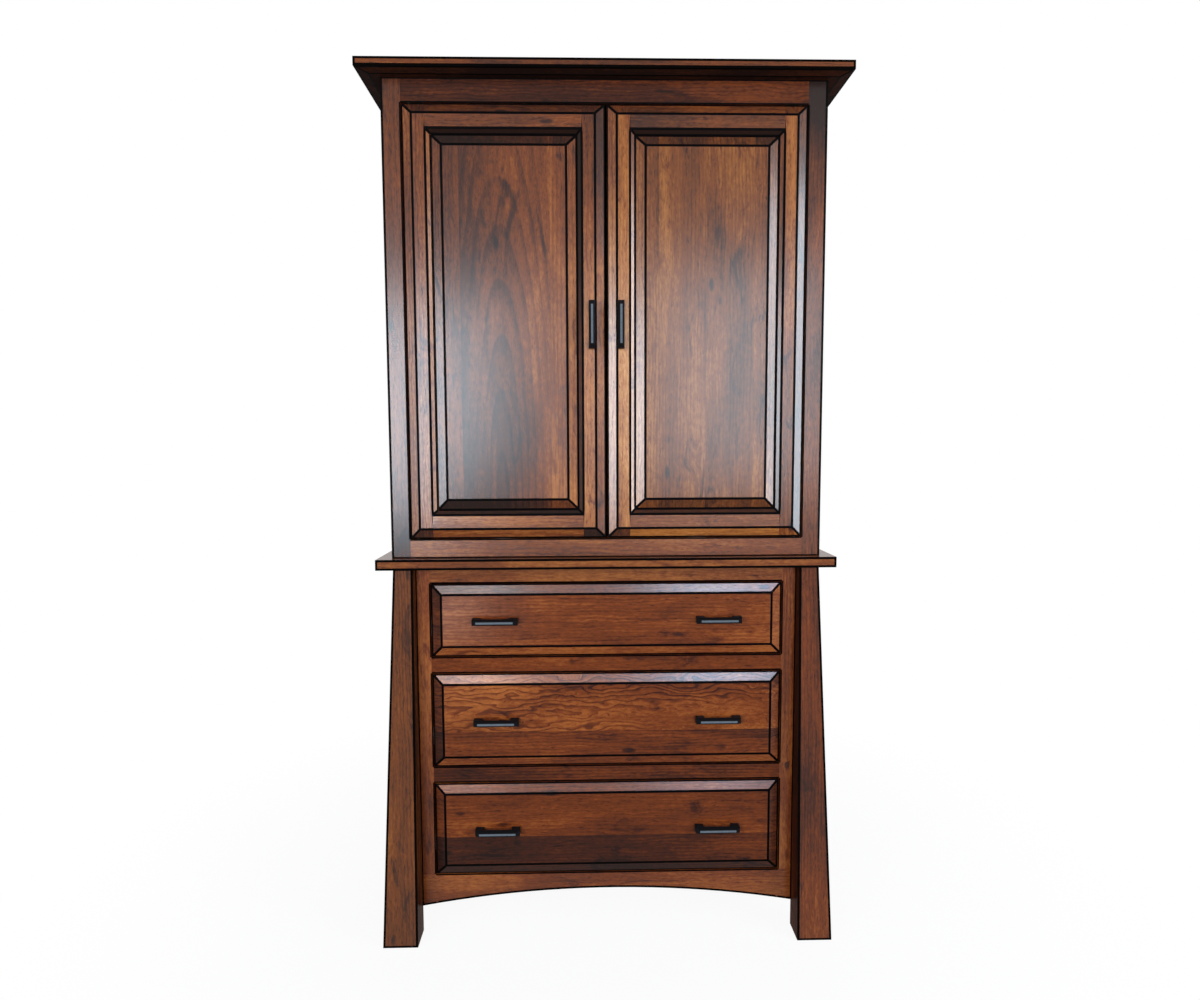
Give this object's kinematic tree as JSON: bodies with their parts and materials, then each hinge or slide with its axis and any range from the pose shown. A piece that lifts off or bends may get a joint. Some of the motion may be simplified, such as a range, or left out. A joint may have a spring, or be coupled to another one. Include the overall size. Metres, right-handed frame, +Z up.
{
  "type": "computer armoire",
  "caption": "Free-standing wooden armoire: raised-panel doors close a desk and shelf bay above a base of full-extension drawers on flared legs, with dark bar pulls.",
  "frame": {"origin": "on the floor, under the middle of the whole armoire", "axes": "+Z up, +X to the right seen from the front, the front faces -Y"},
  "size_m": [1.1, 0.61, 2.032],
  "materials": {
    "cabinet_wood": "stained hardwood, satin lacquer",
    "drawer_wood": "clear-lacquered hardwood",
    "back_panel_wood": "stained plywood",
    "pull_metal": "dark bronze, satin",
    "slide_steel": "zinc plated",
    "hinge_brass": "satin",
    "plated_steel": "nickel plated",
    "moulded_plastic": "fine texture"
  },
  "bodies": {
    "case": {"apron": "cabinet_wood", "base_back_panel": "back_panel_wood", "base_floor": "back_panel_wood", "base_left_side": "cabinet_wood", "base_right_side": "cabinet_wood", "base_stiles": "cabinet_wood", "base_top": "cabinet_wood", "base_top_rail": "cabinet_wood", "cabinet_slides": "slide_steel", "cable_grommets": "moulded_plastic", "crown_top": "cabinet_wood", "desk_deck": "cabinet_wood", "door_catches": "moulded_plastic", "drawer_rails": "cabinet_wood", "front_left_leg": "cabinet_wood", "front_right_leg": "cabinet_wood", "hinge_case_leaves": "hinge_brass", "monitor_shelf": "cabinet_wood", "rear_left_leg": "cabinet_wood", "rear_right_leg": "cabinet_wood", "shelf_pins": "plated_steel", "slide_cleats": "drawer_wood", "upper_back_panel": "back_panel_wood", "upper_bottom_rail": "cabinet_wood", "upper_left_side": "cabinet_wood", "upper_right_side": "cabinet_wood", "upper_stiles": "cabinet_wood", "upper_top_panel": "cabinet_wood", "upper_top_rail": "cabinet_wood"},
    "bottom_drawer": {"bottom_drawer_box": "drawer_wood", "bottom_drawer_front": "cabinet_wood", "bottom_drawer_pulls": "pull_metal", "bottom_drawer_slides": "slide_steel"},
    "bottom_drawer_middle_member": {"bottom_drawer_middle_slides": "slide_steel"},
    "left_door": {"left_door_bottom_rail": "cabinet_wood", "left_door_catch_plate": "plated_steel", "left_door_hinge_leaves": "hinge_brass", "left_door_hinge_stile": "cabinet_wood", "left_door_meeting_stile": "cabinet_wood", "left_door_panel": "cabinet_wood", "left_door_pull": "pull_metal", "left_door_top_rail": "cabinet_wood"},
    "middle_drawer": {"middle_drawer_box": "drawer_wood", "middle_drawer_front": "cabinet_wood", "middle_drawer_pulls": "pull_metal", "middle_drawer_slides": "slide_steel"},
    "middle_drawer_middle_member": {"middle_drawer_middle_slides": "slide_steel"},
    "right_door": {"right_door_bottom_rail": "cabinet_wood", "right_door_catch_plate": "plated_steel", "right_door_hinge_leaves": "hinge_brass", "right_door_hinge_stile": "cabinet_wood", "right_door_meeting_stile": "cabinet_wood", "right_door_panel": "cabinet_wood", "right_door_pull": "pull_metal", "right_door_top_rail": "cabinet_wood"},
    "top_drawer": {"top_drawer_box": "drawer_wood", "top_drawer_front": "cabinet_wood", "top_drawer_pulls": "pull_metal", "top_drawer_slides": "slide_steel"},
    "top_drawer_middle_member": {"top_drawer_middle_slides": "slide_steel"}
  },
  "joints": [
    {"name": "right_door_hinge", "type": "hinge", "parent": "case", "child": "right_door", "pos_m": [0.4405, -0.255, 1.4625], "axis": [0, 0, 1], "range_deg": [0, 110]},
    {"name": "left_door_hinge", "type": "hinge", "parent": "case", "child": "left_door", "pos_m": [-0.4405, -0.255, 1.4625], "axis": [0, 0, -1], "range_deg": [0, 110]},
    {"name": "top_drawer_slide", "type": "slide", "parent": "case", "child": "top_drawer", "axis": [0, -1, 0], "range_m": [0, 0.42]},
    {"name": "top_drawer_middle_slide", "type": "slide", "parent": "case", "child": "top_drawer_middle_member", "axis": [0, -1, 0], "range_m": [0, 0.21]},
    {"name": "middle_drawer_slide", "type": "slide", "parent": "case", "child": "middle_drawer", "axis": [0, -1, 0], "range_m": [0, 0.42]},
    {"name": "middle_drawer_middle_slide", "type": "slide", "parent": "case", "child": "middle_drawer_middle_member", "axis": [0, -1, 0], "range_m": [0, 0.21]},
    {"name": "bottom_drawer_slide", "type": "slide", "parent": "case", "child": "bottom_drawer", "axis": [0, -1, 0], "range_m": [0, 0.42]},
    {"name": "bottom_drawer_middle_slide", "type": "slide", "parent": "case", "child": "bottom_drawer_middle_member", "axis": [0, -1, 0], "range_m": [0, 0.21]}
  ],
  "couplings": [
    {"joint": "top_drawer_middle_slide", "follows": "top_drawer_slide", "ratio": 0.5},
    {"joint": "middle_drawer_middle_slide", "follows": "middle_drawer_slide", "ratio": 0.5},
    {"joint": "bottom_drawer_middle_slide", "follows": "bottom_drawer_slide", "ratio": 0.5}
  ]
}
